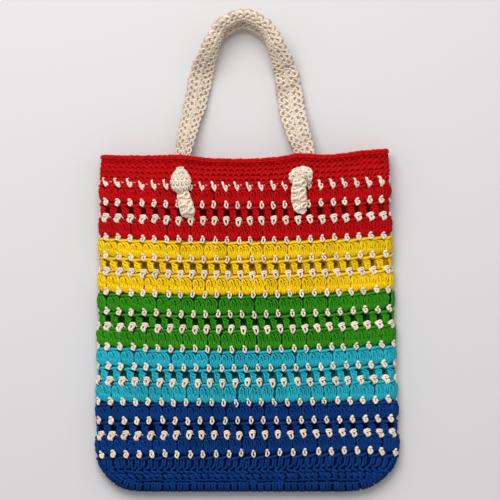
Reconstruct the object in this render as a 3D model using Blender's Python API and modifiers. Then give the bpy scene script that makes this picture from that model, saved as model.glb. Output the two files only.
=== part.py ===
"""Crocheted tote bag lying flat on its back, with two strap handles knotted through its rim.

X runs across the bag, Y from its bottom fold towards the handles, and Z up from the surface it
lies on. The origin is the middle of its footprint. All lengths are in metres.
"""

import math

import bmesh
import bpy
from mathutils import Vector

# Bag body: one tube of fabric, closed at its bottom fold
BASE_WIDTH = 0.339
RIM_WIDTH = 0.320
BODY_THICKNESS = 0.018
MOUTH_THICKNESS = 0.022
MOUTH_BLEND = 0.090
WALL = 0.0038
CORNER_WIDTH = 0.068
CORNER_HEIGHT = 0.046
LEAN = -0.0035
CLEARANCE = 0.0003

# Crochet rounds, from the bottom fold up
STITCHES = 48
BASE_HEIGHT = 0.0431
FLAT_ROUND = (0.53, 0.79)
RIM_HEIGHT = 0.0314
STRIPES = (
    # name, lower cluster row, mesh row, upper cluster row
    ("blue_band", 0.0204, 0.0155, 0.0212),
    ("turquoise_band", 0.0214, 0.0162, 0.0215),
    ("green_band", 0.0225, 0.0162, 0.0223),
    ("yellow_band", 0.0218, 0.0168, 0.0227),
    ("red_band", 0.0224, 0.0169, 0.0195),
)
GROOVE_DEPTH = 0.0018
MESH_DEPTH = 0.0010
RIM_GROOVE_DEPTH = 0.0009
GAP_WIDTH = 0.0062
GAP_HEIGHT = 0.0072

# How the rows sag and tilt across the bag
ROW_DIP = 0.0055
DIP_START = 0.030
DIP_BLEND = 0.150
ROW_TILT = 0.0011
RIM_TILT = 0.0017
RIM_SAG = 0.0030
RIM_SAG_WIDTH = 0.055

# Cream rounds: a band of V stitches, straight above and pointed below
STITCH_TOP = 0.0040
STITCH_POINT = 0.0043
STITCH_NOTCH = 0.0010
STITCH_SINK = 0.0002
STITCH_POINT_SINK = 0.0006

# The back handle's knots lie under the bag and lift its upper part
KNOT_LIFT = 0.0080
LIFT_START = 0.225
LIFT_END = 0.335

# Handles: each station is x, rise above the middle of the rim, strap width, tilt in degrees
STRAP_THICKNESS = 0.0040
STRAP_STATIONS = (
    (-0.0755, -0.0150, 0.0110, 0),
    (-0.0702, 0.0061, 0.0187, 0),
    (-0.0571, 0.0660, 0.0235, 4),
    (-0.0526, 0.0929, 0.0246, 8),
    (-0.0403, 0.1299, 0.0235, 22),
    (-0.0307, 0.1478, 0.0228, 32),
    (-0.0045, 0.1602, 0.0225, 38),
    (0.0202, 0.1478, 0.0228, 32),
    (0.0298, 0.1299, 0.0235, 22),
    (0.0441, 0.0929, 0.0246, 8),
    (0.0515, 0.0565, 0.0250, 4),
    (0.0625, 0.0078, 0.0250, 0),
    (0.0605, -0.0150, 0.0130, 0),
)
STEPS_PER_STATION = 2
MOUTH_REACH = 0.008
STRAP_FALL = 0.070

# Knots that hold the straps: the neck's place, the knot's place and half sizes, and the tail's
# stations. Places are x and a drop below the middle of the rim; a station adds width and rise.
NECK_RADII = (0.0043, 0.0029)
FRONT_KNOT_HEIGHT = 0.0120
FRONT_TAIL_THICKNESS = 0.0060
BACK_TAIL_THICKNESS = 0.0045
KNOTS = {
    "left": {
        "neck": (-0.0748, 0.0121),
        "knot": (-0.0743, 0.0236, 0.0121, 0.0142),
        "tail": (
            (-0.0730, 0.0290, 0.0110, 0.0015),
            (-0.0700, 0.0450, 0.0150, 0),
            (-0.0665, 0.0570, 0.0172, 0),
            (-0.0638, 0.0640, 0.0120, 0),
        ),
    },
    "right": {
        "neck": (0.0600, 0.0131),
        "knot": (0.0603, 0.0171, 0.0137, 0.0094),
        "tail": (
            (0.0585, 0.0170, 0.0160, 0.0050),
            (0.0578, 0.0320, 0.0185, 0.0010),
            (0.0578, 0.0470, 0.0185, 0),
            (0.0600, 0.0590, 0.0130, 0),
        ),
    },
}

# Places that follow from the sizes
PER_SIDE = STITCHES // 2
STRIPES_HEIGHT = sum(sum(stripe[1:]) for stripe in STRIPES)
BAG_HEIGHT = BASE_HEIGHT + STRIPES_HEIGHT + RIM_HEIGHT
CROWN = max(STRAP_STATIONS, key=lambda station: station[1])
CROWN_TILT = math.radians(CROWN[3])
CROWN_DEPTH = (STRAP_THICKNESS + CLEARANCE / 2) * math.sin(CROWN_TILT)
HANDLE_RISE = CROWN[1] + CROWN[2] / 2 * math.cos(CROWN_TILT) + CROWN_DEPTH
BOTTOM_Y = -(BAG_HEIGHT + HANDLE_RISE) / 2
RIM_Y = BOTTOM_Y + BAG_HEIGHT
GAP_SHARE = GAP_WIDTH / ((BASE_WIDTH + RIM_WIDTH) / 2 / PER_SIDE)
GAP_EDGES = (0.5 - GAP_SHARE / 2, 0.5 + GAP_SHARE / 2)
MOUTH_MIDDLE = KNOT_LIFT + MOUTH_THICKNESS / 2

COLOURS = {
    "red": (200, 20, 25),
    "yellow": (240, 205, 30),
    "green": (45, 140, 35),
    "turquoise": (45, 180, 200),
    "blue": (20, 65, 140),
    "cream": (250, 232, 205),
}


def ease(share):
    """0 to 1, starting and ending gently."""
    share = min(max(share, 0.0), 1.0)
    return share * share * (3 - 2 * share)


def linear(channel):
    """An 8-bit sRGB channel as a linear value."""
    value = channel / 255
    return value / 12.92 if value <= 0.04045 else ((value + 0.055) / 1.055) ** 2.4


def yarn(colour):
    """A matt cotton yarn material."""
    material = bpy.data.materials.new(colour + "_yarn")
    material.use_nodes = True
    shader = material.node_tree.nodes["Principled BSDF"]
    shader.inputs["Base Color"].default_value = (*[linear(c) for c in COLOURS[colour]], 1)
    shader.inputs["Roughness"].default_value = 0.85
    shader.inputs["Metallic"].default_value = 0
    return material


def half_width(height):
    """Half the bag's width at a height above its bottom fold, with rounded lower corners."""
    half = (BASE_WIDTH + (RIM_WIDTH - BASE_WIDTH) * height / BAG_HEIGHT) / 2
    drop = max(CORNER_HEIGHT - height, 0) / CORNER_HEIGHT
    return half - CORNER_WIDTH * (1 - math.sqrt(1 - drop * drop))


def full_thickness(height):
    """The lying bag's thickness away from its bottom fold."""
    share = ease((height - BAG_HEIGHT + MOUTH_BLEND) / MOUTH_BLEND)
    return BODY_THICKNESS + (MOUTH_THICKNESS - BODY_THICKNESS) * share


def lift(height):
    """How far the back wall lies above the surface, over the knots beneath it."""
    return KNOT_LIFT * ease((height - LIFT_START) / (LIFT_END - LIFT_START))


def row_shift(x, height):
    """How far a row lies above its height at the middle of the bag."""
    across = x / half_width(height)
    rim = ease((height - BAG_HEIGHT + RIM_HEIGHT) / RIM_HEIGHT)
    dip = ROW_DIP * ease((height - DIP_START) / DIP_BLEND) * across * across
    tilt = (ROW_TILT * ease(height / CORNER_HEIGHT) + RIM_TILT * rim) * across
    sag = RIM_SAG * rim * (1 - math.exp(-((x / RIM_SAG_WIDTH) ** 2)))
    return dip + tilt + sag


def wall_point(column, height, depth):
    """The place on the bag's outside, sunk by depth, at a column counted in stitches.

    Column 0 is the left side fold, and columns run over the front and back along the back.
    """
    full = full_thickness(height)
    fold = full / 2
    narrowing = max(fold - height, 0) / fold
    radius = max(fold * math.sqrt(1 - narrowing * narrowing) - depth, 0)
    half = half_width(height) - depth
    quarter = math.pi * radius / 2
    run = 2 * (half - radius) + 2 * quarter
    side, along = divmod(column / PER_SIDE, 1)
    along *= run
    from_left = along < run / 2
    reach = along if from_left else run - along
    if reach < quarter:
        angle = reach / radius
        x, z = radius * (1 - math.cos(angle)) - half, radius * math.sin(angle)
    else:
        x, z = reach - quarter + radius - half, radius
    if not from_left:
        x = -x
    if side % 2:
        x, z = -x, -z
    y = BOTTOM_Y + height + row_shift(x, height)
    return Vector((x + LEAN * height / BAG_HEIGHT, y, lift(height) + full / 2 + z))


def fold_distance(column):
    """A column's distance from the nearer side fold, in stitches."""
    along = column % PER_SIDE
    return min(along, PER_SIDE - along)


def wall_keeps(column):
    """Whether the plain lines of a wall have a vertex at this column: all round the side folds,
    and at every third stitch along the flats."""
    stitch, part = divmod(fold_distance(column), 1)
    return stitch < 1 or (round(stitch) % 3 == 1 and part < 0.5)


def on_front(column):
    return 0 <= column < PER_SIDE


def rolled_grid(columns, rows, keeps, place, is_open=None):
    """A flat grid rolled round the bag, one vertex line for each row.

    A vertex whose column its row doesn't keep joins the last kept one before it. Faces for which
    is_open says so are left out.
    """
    bm = bmesh.new()
    across = len(columns) - 1
    up = len(rows) - 1
    bmesh.ops.create_grid(bm, x_segments=across, y_segments=up, size=0.5)

    def step(point):
        return (point.x + 0.5) * across, (point.y + 0.5) * up

    if is_open:
        faces = []
        for face in bm.faces:
            column, row = step(face.calc_center_median())
            if is_open(int(column), int(row)):
                faces.append(face)
        bmesh.ops.delete(bm, geom=faces, context="FACES_ONLY")
    lines = [[None] * len(columns) for _ in rows]
    for vertex in bm.verts:
        column, row = step(vertex.co)
        lines[round(row)][round(column)] = vertex
    joins = {}
    for row, line in zip(rows, lines):
        last = line[0]
        for column, vertex in zip(columns, line):
            if keeps(column, row):
                last = vertex
                vertex.co = place(column, row)
            else:
                joins[vertex] = last
    bmesh.ops.weld_verts(bm, targetmap=joins)
    bmesh.ops.remove_doubles(bm, verts=bm.verts, dist=0.0001)
    return bm


def new_object(name, bm, material, collection):
    """An object from a finished bmesh, shaded smooth up to its sharp edges."""
    mesh = bpy.data.meshes.new(name)
    bm.to_mesh(mesh)
    bm.free()
    mesh.materials.append(material)
    mesh.shade_smooth()
    mesh.set_sharp_from_angle(angle=math.radians(50))
    obj = bpy.data.objects.new(name, mesh)
    collection.objects.link(obj)
    return obj


def add_wall(obj, thickness, offset):
    """Solidify, for a sheet that becomes a closed body."""
    solid = obj.modifiers.new("wall", "SOLIDIFY")
    solid.thickness = thickness
    solid.offset = offset
    solid.use_even_offset = True


def add_boolean(obj, other, operation):
    other.hide_render = True
    other.display_type = "WIRE"
    modifier = obj.modifiers.new(operation.lower() + " " + other.name, "BOOLEAN")
    modifier.operation = operation
    modifier.object = other


def stripe_rows(bottom, lower, mesh, upper):
    """A stripe's vertex lines as height, depth and whether it edges the gaps: two ridges with a
    mesh row between them, and a groove under each cream round."""
    first = bottom + lower
    second = first + mesh
    top = second + upper
    middle = (first + second) / 2
    return [
        (bottom + CLEARANCE / 2, GROOVE_DEPTH, False),
        ((bottom + first) / 2, 0, False),
        (first, GROOVE_DEPTH, False),
        (middle - GAP_HEIGHT / 2, MESH_DEPTH, True),
        (middle + GAP_HEIGHT / 2, MESH_DEPTH, True),
        (second, GROOVE_DEPTH, False),
        ((second + top) / 2, 0, False),
        (top - CLEARANCE / 2, GROOVE_DEPTH, False),
    ]


def base_rows():
    """The base: the bottom fold, a ridge, and the flat round that the bag lies on."""
    fold = BODY_THICKNESS / 2
    return [
        (0, 0, False),
        (fold * 0.13, 0, False),
        (fold * 0.5, 0, False),
        (BASE_HEIGHT * 0.24, 0, False),
        (BASE_HEIGHT * 0.38, GROOVE_DEPTH / 2, False),
        (BASE_HEIGHT * FLAT_ROUND[0], 0, False),
        (BASE_HEIGHT * FLAT_ROUND[1], 0, False),
        (BASE_HEIGHT, GROOVE_DEPTH, False),
    ]


def rim_rows():
    """The rim: two rounded ridges above the topmost cream round."""
    bottom = BAG_HEIGHT - RIM_HEIGHT
    return [
        (bottom, GROOVE_DEPTH, False),
        (bottom + RIM_HEIGHT * 0.25, 0, False),
        (bottom + RIM_HEIGHT * 0.52, RIM_GROOVE_DEPTH, False),
        (bottom + RIM_HEIGHT * 0.78, 0, False),
        (BAG_HEIGHT, RIM_GROOVE_DEPTH, False),
    ]


def make_band(name, rows, material, collection):
    """One colour of the bag's wall, with gaps through the front of its mesh row."""
    columns = [stitch + edge for stitch in range(STITCHES) for edge in GAP_EDGES]
    columns.append(columns[0] + STITCHES)

    def keeps(column, row):
        return wall_keeps(column) or (row[2] and on_front(column))

    def place(column, row):
        return wall_point(column, row[0], row[1])

    def is_open(step, row):
        return step % 2 == 0 and on_front(columns[step]) and rows[row][2] and rows[row + 1][2]

    band = new_object(name, rolled_grid(columns, rows, keeps, place, is_open), material, collection)
    add_wall(band, WALL, -1)
    return band


def make_cream_round(name, height, material, collection):
    """One cream round: a band of wedge section that lies in its groove, straight along its top
    and cut into points along the bottom over the front and the side folds."""
    near_fold = 1.6
    edges = [stitch + edge for stitch in range(STITCHES) for edge in GAP_EDGES]
    folds = {column for column in edges if fold_distance(column) < near_fold}
    folds.add(edges[0] + STITCHES)
    halves = {half / 2 for half in range(1, 2 * STITCHES + 1)}
    columns = sorted(halves | folds)

    def straight(column):
        if fold_distance(column) < near_fold:
            return column in folds
        return column % 4 == 0

    def keeps(column, row):
        pointed = row == "points" and (on_front(column) or fold_distance(column) < near_fold)
        return pointed or straight(column)

    def place(column, row):
        if row == "points":
            from_point = abs(column % 1 - 0.5) * 2
            drop = STITCH_POINT + (STITCH_NOTCH - STITCH_POINT) * from_point
            return wall_point(column, height - drop, STITCH_POINT_SINK)
        if row == "inner":
            return wall_point(column, height, GROOVE_DEPTH - 1.2 * CLEARANCE)
        return wall_point(column, height + STITCH_TOP, STITCH_SINK)

    bm = rolled_grid(columns, ("inner", "points", "outer", "inner"), keeps, place)
    return new_object(name, bm, material, collection)


def wall_level(side, height):
    """The level of the front (1) or back (-1) wall's outside at a height up the bag."""
    return lift(height) + (full_thickness(height) if side > 0 else 0)


def smooth_value(before, start, end, after, t):
    """A value between start and end, on the smooth curve through all four."""
    bend = 2 * before - 5 * start + 4 * end - after
    twist = 3 * start - before - 3 * end + after
    return start + ((end - before) * t + bend * t * t + twist * t**3) / 2


def curve_through(points, steps):
    """Places on a smooth curve through the points, evenly spaced between each two."""
    found = []
    for index in range(len(points) - 1):
        before = points[max(index - 1, 0)]
        start, end = points[index], points[index + 1]
        after = points[min(index + 2, len(points) - 1)]
        for step in range(steps):
            t = step / steps
            found.append(
                tuple(smooth_value(*values, t) for values in zip(before, start, end, after))
            )
    found.append(tuple(points[-1]))
    return found


def ribbon(name, frames, thickness, material, collection):
    """A strap with a frame for each of its cross sections: middle, direction across and width."""
    bm = bmesh.new()
    up = len(frames) - 1
    bmesh.ops.create_grid(bm, x_segments=2, y_segments=up, size=0.5)
    for vertex in bm.verts:
        middle, across, width = frames[round((vertex.co.y + 0.5) * up)]
        vertex.co = middle + across * vertex.co.x * width
    strap = new_object(name, bm, material, collection)
    add_wall(strap, thickness, 0)
    return strap


def strap_frames(side):
    """The strap of one handle: the front one (1) lies on the back one (-1) all the way."""
    stations = curve_through(STRAP_STATIONS, STEPS_PER_STATION)
    frames = []
    for index, (x, rise, width, tilt) in enumerate(stations):
        before = stations[max(index - 1, 0)]
        after = stations[min(index + 1, len(stations) - 1)]
        along = Vector((after[0] - before[0], after[1] - before[1], 0)).normalized()
        outward = Vector((-along.y, along.x, 0))
        tilt = math.radians(tilt)
        across = outward * math.cos(tilt) + Vector((0, 0, math.sin(tilt)))
        normal = Vector((0, 0, math.cos(tilt))) - outward * math.sin(tilt)
        half_gap = CLEARANCE / 2
        lying = (half_gap + STRAP_THICKNESS) * math.cos(tilt) + width / 2 * math.sin(tilt)
        from_mouth = ease((rise - MOUTH_REACH) / STRAP_FALL)
        middle = Vector((x, RIM_Y + rise, MOUTH_MIDDLE + (lying - MOUTH_MIDDLE) * from_mouth))
        middle += normal * side * (half_gap + STRAP_THICKNESS / 2)
        frames.append((middle, across, width))
    return frames


def ellipsoid(name, centre, radii, material, collection):
    """A rounded lump, for a knot that is drawn up tight."""
    bm = bmesh.new()
    bmesh.ops.create_uvsphere(bm, u_segments=8, v_segments=6, radius=1)
    bmesh.ops.scale(bm, vec=Vector(radii), verts=bm.verts)
    bmesh.ops.translate(bm, vec=Vector(centre), verts=bm.verts)
    return new_object(name, bm, material, collection)


def oval_post(name, place, radii, low, high, material, collection):
    """An upright oval post at a place across the bag and below the rim."""
    bm = bmesh.new()
    bmesh.ops.create_cone(bm, cap_ends=True, segments=8, radius1=1, radius2=1, depth=1)
    bmesh.ops.scale(bm, vec=Vector((*radii, high - low)), verts=bm.verts)
    centre = Vector((place[0], RIM_Y - place[1], (low + high) / 2))
    bmesh.ops.translate(bm, vec=centre, verts=bm.verts)
    return new_object(name, bm, material, collection)


def tail_frames(side, stations, thickness):
    """A knot's tail, lying along the outside of the wall."""
    frames = []
    for x, drop, width, rise in stations:
        level = wall_level(side, BAG_HEIGHT - drop)
        raised = rise if side > 0 else 0
        z = level + side * (CLEARANCE + thickness / 2 + raised)
        frames.append((Vector((x, RIM_Y - drop, z)), Vector((1, 0, 0)), width))
    return frames


def make_handle(name, side, material, collection, tools):
    """One handle: a strap out of the mouth and back, with a neck through the rim's wall, a knot
    and a tail outside it at both ends."""
    handle = ribbon(name, strap_frames(side), STRAP_THICKNESS, material, collection)
    strap_level = MOUTH_MIDDLE + side * (CLEARANCE + STRAP_THICKNESS) / 2
    knot_height = FRONT_KNOT_HEIGHT if side > 0 else KNOT_LIFT - CLEARANCE
    tail_thickness = FRONT_TAIL_THICKNESS if side > 0 else BACK_TAIL_THICKNESS
    for end, sizes in KNOTS.items():
        x, drop, half_across, half_along = sizes["knot"]
        level = wall_level(side, BAG_HEIGHT - drop)
        middle = level + side * (CLEARANCE + knot_height / 2)
        centre = (x, RIM_Y - drop, middle)
        radii = (half_across, half_along, knot_height / 2)
        knot = ellipsoid(f"{name}_{end}_knot", centre, radii, material, tools)
        low, high = sorted((strap_level, middle))
        neck = oval_post(f"{name}_{end}_neck", sizes["neck"], NECK_RADII, low, high, material, tools)
        frames = tail_frames(side, sizes["tail"], tail_thickness)
        tail = ribbon(f"{name}_{end}_tail", frames, tail_thickness, material, tools)
        for piece in (neck, knot, tail):
            add_boolean(handle, piece, "UNION")
    return handle


def cut_neck_holes(band, material, tools):
    """A hole through the front and back of the rim for each neck, with clearance all round."""
    radii = [radius + CLEARANCE for radius in NECK_RADII]
    top = KNOT_LIFT + MOUTH_THICKNESS + WALL
    for end, sizes in KNOTS.items():
        hole = oval_post(f"{end}_neck_hole", sizes["neck"], radii, -WALL, top, material, tools)
        add_boolean(band, hole, "DIFFERENCE")


def make_bag(bag, tools):
    """The five colours of the wall, and the heights of the cream rounds between their rows."""
    bottom = BASE_HEIGHT
    round_heights = [bottom]
    for name, lower, mesh, upper in STRIPES:
        rows = stripe_rows(bottom, lower, mesh, upper)
        if name == STRIPES[0][0]:
            rows = base_rows() + rows[1:]
        if name == STRIPES[-1][0]:
            rows = rows[:-1] + rim_rows()
        band = make_band(name, rows, yarn(name.split("_")[0]), bag)
        round_heights += [bottom + lower, bottom + lower + mesh, bottom + lower + mesh + upper]
        bottom = round_heights[-1]
    cut_neck_holes(band, band.data.materials[0], tools)
    return round_heights


def main():
    for obj in list(bpy.data.objects):
        bpy.data.objects.remove(obj)
    bag = bpy.data.collections.new("tote_bag")
    tools = bpy.data.collections.new("cutters_and_joined_lumps")
    for collection in (bag, tools):
        bpy.context.scene.collection.children.link(collection)
    cream = yarn("cream")
    for number, height in enumerate(make_bag(bag, tools), start=1):
        make_cream_round(f"cream_round_{number:02d}", height, cream, bag)
    make_handle("front_handle", 1, cream, bag, tools)
    make_handle("back_handle", -1, cream, bag, tools)


main()
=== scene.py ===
"""Looks of a crocheted tote bag: every stitch is laid in strands of yarn, over thin cores that follow
the CAD model's walls and straps.

Lengths are in metres unless a name or comment says millimetres. Stitches are drawn flat, in
millimetres: x across the stitch, y up the bag and z out of the fabric. They are then copied round
the bag or along a strap.
"""

import math

import bmesh
import bpy
import numpy as np
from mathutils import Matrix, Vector


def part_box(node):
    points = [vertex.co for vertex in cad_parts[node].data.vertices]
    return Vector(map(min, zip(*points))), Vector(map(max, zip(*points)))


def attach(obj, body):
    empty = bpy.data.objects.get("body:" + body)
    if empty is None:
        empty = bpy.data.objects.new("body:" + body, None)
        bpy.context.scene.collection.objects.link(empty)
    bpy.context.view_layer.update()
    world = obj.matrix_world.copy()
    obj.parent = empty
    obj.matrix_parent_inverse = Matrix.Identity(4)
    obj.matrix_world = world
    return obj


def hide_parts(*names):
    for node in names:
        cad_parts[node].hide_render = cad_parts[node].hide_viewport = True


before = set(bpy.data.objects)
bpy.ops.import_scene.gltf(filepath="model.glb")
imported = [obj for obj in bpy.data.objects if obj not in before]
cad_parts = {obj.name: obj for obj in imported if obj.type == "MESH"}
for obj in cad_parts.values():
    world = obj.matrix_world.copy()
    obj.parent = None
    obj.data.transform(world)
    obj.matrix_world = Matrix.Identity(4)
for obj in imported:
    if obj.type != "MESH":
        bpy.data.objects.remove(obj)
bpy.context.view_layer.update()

MM = 0.001

# Bag body, sized as in the CAD model
BASE_WIDTH = 0.339
RIM_WIDTH = 0.320
BODY_THICKNESS = 0.018
MOUTH_THICKNESS = 0.022
MOUTH_BLEND = 0.090
WALL = 0.0038
CORNER_WIDTH = 0.068
CORNER_HEIGHT = 0.046
LEAN = -0.0035
CLEARANCE = 0.0003

# The back handle's knots lie under the bag and lift its upper part
KNOT_LIFT = 0.0080
LIFT_START = 0.225
LIFT_END = 0.335

# Crochet rounds from the bottom fold up, with rows as high as in the photo
STITCHES = 48
PER_SIDE = STITCHES // 2
BASE_HEIGHT = 0.0431
RIM_HEIGHT = 0.0314
STRIPES = (
    # name, lower cluster row, mesh row, upper cluster row
    ("blue", 0.0219, 0.0151, 0.0201),
    ("turquoise", 0.0228, 0.0156, 0.0207),
    ("green", 0.0231, 0.0162, 0.0217),
    ("yellow", 0.0228, 0.0168, 0.0207),
    ("red", 0.0226, 0.0169, 0.0203),
)

# How the rows dip, tilt, rise and wave across the bag
ROW_DIP = 0.0055
DIP_START = 0.030
DIP_BLEND = 0.150
ROW_TILT = 0.0011
LOW_RISE = 0.0027
LOW_RISE_SHARE = 0.7
LOW_RISE_END = 0.8
LOW_RISE_BLEND = 0.045
RIM_TILT = 0.0017
RIM_SAG = 0.0030
RIM_SAG_WIDTH = 0.055
RIM_WAVES = (
    # x of the middle, rise and reach of each wave of the rim: two over the straps, two beside them
    (-0.148, -0.0012, 0.028), (-0.073, 0.0022, 0.020), (0.061, 0.0022, 0.015), (0.098, -0.0018, 0.022),
)

# How the columns drift and crowd, counted in stitches
DRIFT_START = 0.045
DRIFT = -2.1
DRIFT_EASE = 0.9
CROWDING = (0.12, 0.33)

# How the outline departs from the CAD model's: rows that stand out, rounded upper corners, and
# lower corners that lie to the left and puff out
BULGE = 0.0006
SIDE_BULGE = 0.0016
SIDE_REACH = 0.7
RIM_ROUNDING = 0.0030
RIM_ROUNDING_HEIGHT = 0.007
CORNER_SKEW = -0.0050
CORNER_PUFF = 0.0029
LEAST_RADIUS = 0.00001

# Handles, near the CAD model's: x, rise above the middle of the rim, strap width, tilt in degrees
STRAP_THICKNESS = 0.0040
STRAP_STATIONS = (
    (-0.0755, -0.0150, 0.0110, 0), (-0.0722, 0.0061, 0.0168, 0), (-0.0652, 0.0375, 0.0206, 2),
    (-0.0577, 0.0660, 0.0235, 4), (-0.0526, 0.0929, 0.0246, 8), (-0.0410, 0.1304, 0.0235, 22),
    (-0.0298, 0.1502, 0.0228, 32), (-0.0045, 0.1620, 0.0225, 38), (0.0194, 0.1500, 0.0228, 32),
    (0.0310, 0.1306, 0.0235, 22), (0.0434, 0.0929, 0.0262, 8), (0.0499, 0.0565, 0.0276, 4),
    (0.0562, 0.0300, 0.0256, 2), (0.0632, 0.0078, 0.0220, 0), (0.0605, -0.0150, 0.0130, 0),
)
STRAP_STEPS = 12
MOUTH_REACH = 0.008
STRAP_FALL = 0.070
STRAP_ARCH = 0.0010

# The straps' crowns stand up and tilt, the front one (1) over the back one (-1)
CROWN_START = 0.085
CROWN_BLEND = 0.050
CROWN_LIFT = {1: 0.0195, -1: 0.0040}
CROWN_TILT = {1: 22, -1: 28}
CROWN_DROP = {1: 0, -1: 0.0120}
CROWN_WIDTH = 0.98
CROWN_ARCH = 0.0040

# Places that follow from the sizes
BAG_HEIGHT = BASE_HEIGHT + sum(sum(stripe[1:]) for stripe in STRIPES) + RIM_HEIGHT
BOTTOM_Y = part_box("blue_band")[0].y
RIM_Y = BOTTOM_Y + BAG_HEIGHT
MOUTH_MIDDLE = KNOT_LIFT + MOUTH_THICKNESS / 2

# Yarn: a strand's radius in millimetres, and how far stitches stray, lean and waver
YARN_RADIUS = 1.15
TWIST_PITCH = 0.0075
FABRIC_DEPTH = 0.0013
# painted shade: a strand is darkened the deeper it lies between others, fully at this depth
PAINTED_SHADE_DEPTH = 0.002
STITCH_SCATTER = (0.0003, 0.0003, 0.00015)
STITCH_LEAN = 0.05
STRAP_SCATTER = (0.0005, 0.0006, 0.0002)
WOBBLE = 0.00022
WOBBLE_LENGTH = 0.0070

# The sheet under the strands, its outer side painted dark as the shade between them. Row heights are
# above the band's or the mesh row's bottom, and the gaps of a mesh row lie between its last two, over
# the middle half of each stitch
CORE_DEPTH = 0.0025
CORE_WALL = 0.0012
# painted shade: how much darker the sheet's outer side is made, in tone steps
CORE_PAINTED_SHADE = -6
CORE_MERGE = 0.00005
RIM_CORE_DEPTH = 0.0024
RIM_CORE_START = 0.001
RIM_CORE_ROWS = (1 / 3, 0.66)
RIM_CORE_DROP = 0.0006
BASE_CORE_ROWS = (0.0015, 0.003, 0.006, 0.010, 0.015, 0.020, 0.026, 0.032, 0.038)
MESH_CORE_ROWS = (0.0020, 0.0045, 0.0115)
OPEN_ROW = 3
OPEN_SHARE = (0.25, 0.75)

# Rim: pitch, sinking and edge in millimetres, and the slant in stitches
RIM_ROUNDS = 5
INNER_ROUNDS = 3
RIM_PITCH = 6.7
RIM_SLANT = 0.09
RIM_SINK = {3: 0.5, 4: 1.2}
EDGE_HEIGHT = 3.9

# Base: its ribs start at an angle in degrees and spread over a width in millimetres, and the chain
# on top is given by bottom, stitch width and height in millimetres
RIB_START = 22
RIB_PITCH = 0.0076
RIB_SPAN = 22.6
CORNER_STEPS = 40
FOLD_STEPS = 60
BASE_CHAIN = (37.7, 13.8, 3.4)
BASE_SWAY = 1.3

# Straps, knots and tails: spans and the knots' stitches in millimetres, how these are spread, and the
# painted shade and painted light they get
STRAP_PITCH = 0.0075
STRAP_SPAN = 24.5
# painted shade: the straps' cream is made darker, in tone steps
STRAP_PAINTED_SHADE = -2.9
TAIL_PITCH = 0.0084
TAIL_SPAN = 17
# painted light: the tails' cream is made paler, in tone steps
TAIL_PAINTED_LIGHT = 1.5
# painted shade: how much the tails and the knots' bodies are darkened between strands
TAIL_SHADE = 0.12
ROUND_SHARE = 0.8
KNOT_STEPS = 8
KNOT_STITCH = (5.6, 5.0)
KNOT_START = 0.6
KNOT_ROUND = 1.5
KNOT_SPREAD = 0.96
KNOT_STAGGER = 0.3
KNOT_TURN = 0.35
# painted shade: how much the knots' stitches are darkened between strands
KNOT_SHADE = 0.4
STRAP_CORE_WIDTH = 0.86
STRAP_CORE_STEPS = 96
STRAP_CORE_MERGE = 0.00002
KNOT_CORE_DEPTH = CORE_DEPTH * 0.7

# Colours: red, green, blue, and how much of it is left where painted shade darkens it deep between the
# strands
COLOURS = {
    "red": (192, 11, 17, 0.60),
    "yellow": (250, 203, 22, 0.58),
    "green": (50, 137, 23, 0.22),
    "turquoise": (40, 172, 190, 0.32),
    "blue": (10, 56, 121, 0.30),
    "cream": (238, 220, 200, 0.42),
}
FLOOR_COLOUR = (212, 210, 211)
FLOOR_ROUGHNESS = 0.9
FINISH = {"Roughness": 0.85, "Specular IOR Level": 0.07, "Sheen Weight": 0.01, "Sheen Roughness": 0.5}
PLY_SHADES = (0.78, 1.12)
PLY_SCALE = 0.95
PLY_DISTORTION = 0.4
TONE_STEP = 0.05
FIBRE_SCALE = 900
FIBRE_DETAIL = 3
FIBRE_SHARE = 0.4
BUMP_STRENGTH = 0.8
BUMP_DISTANCE = 0.0004

# Studio: the camera looks straight down, and HALF_VIEW is how far it sees to each side
LAMP_PLACE = (-0.3, 1.05, 1.6)
LAMP_SIZE = 1.5
LAMP_POWER = 30.4
ROOM_LIGHT = 0.54
ROOM_SLOPE = 0.22
FLOOR_SIZE = 8
CAMERA_PLACE = (0.0025, -0.0012, 5.0)
HALF_VIEW = 0.2793

# Where each kind of piece starts its random draws
BAND_SEED = 10
CREAM_SEED = 200
STRAP_SEED = 400
KNOT_SEED = 500


def ease(share):
    """0 to 1, starting and ending gently."""
    share = np.clip(share, 0.0, 1.0)
    return share * share * (3 - 2 * share)


def unit(vectors):
    return vectors / np.linalg.norm(vectors, axis=1, keepdims=True)


def half_width(height):
    """Half the bag's width at a height above its bottom fold, with rounded lower corners, and
    upper ones rounded a little."""
    half = (BASE_WIDTH + (RIM_WIDTH - BASE_WIDTH) * height / BAG_HEIGHT) / 2
    drop = np.clip((CORNER_HEIGHT - height) / CORNER_HEIGHT, 0, 1)
    below_top = np.clip((BAG_HEIGHT - height) / RIM_ROUNDING_HEIGHT, 0, 1)
    return half - CORNER_WIDTH * (1 - np.sqrt(1 - drop * drop)) - RIM_ROUNDING * (1 - below_top) ** 2


def full_thickness(height):
    """The flat bag's thickness at a height, with its mouth a little open."""
    share = ease((height - BAG_HEIGHT + MOUTH_BLEND) / MOUTH_BLEND)
    return BODY_THICKNESS + (MOUTH_THICKNESS - BODY_THICKNESS) * share


def lift(height):
    """How far the back wall lies above the floor, over the knots beneath it."""
    return KNOT_LIFT * ease((height - LIFT_START) / (LIFT_END - LIFT_START))


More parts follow.
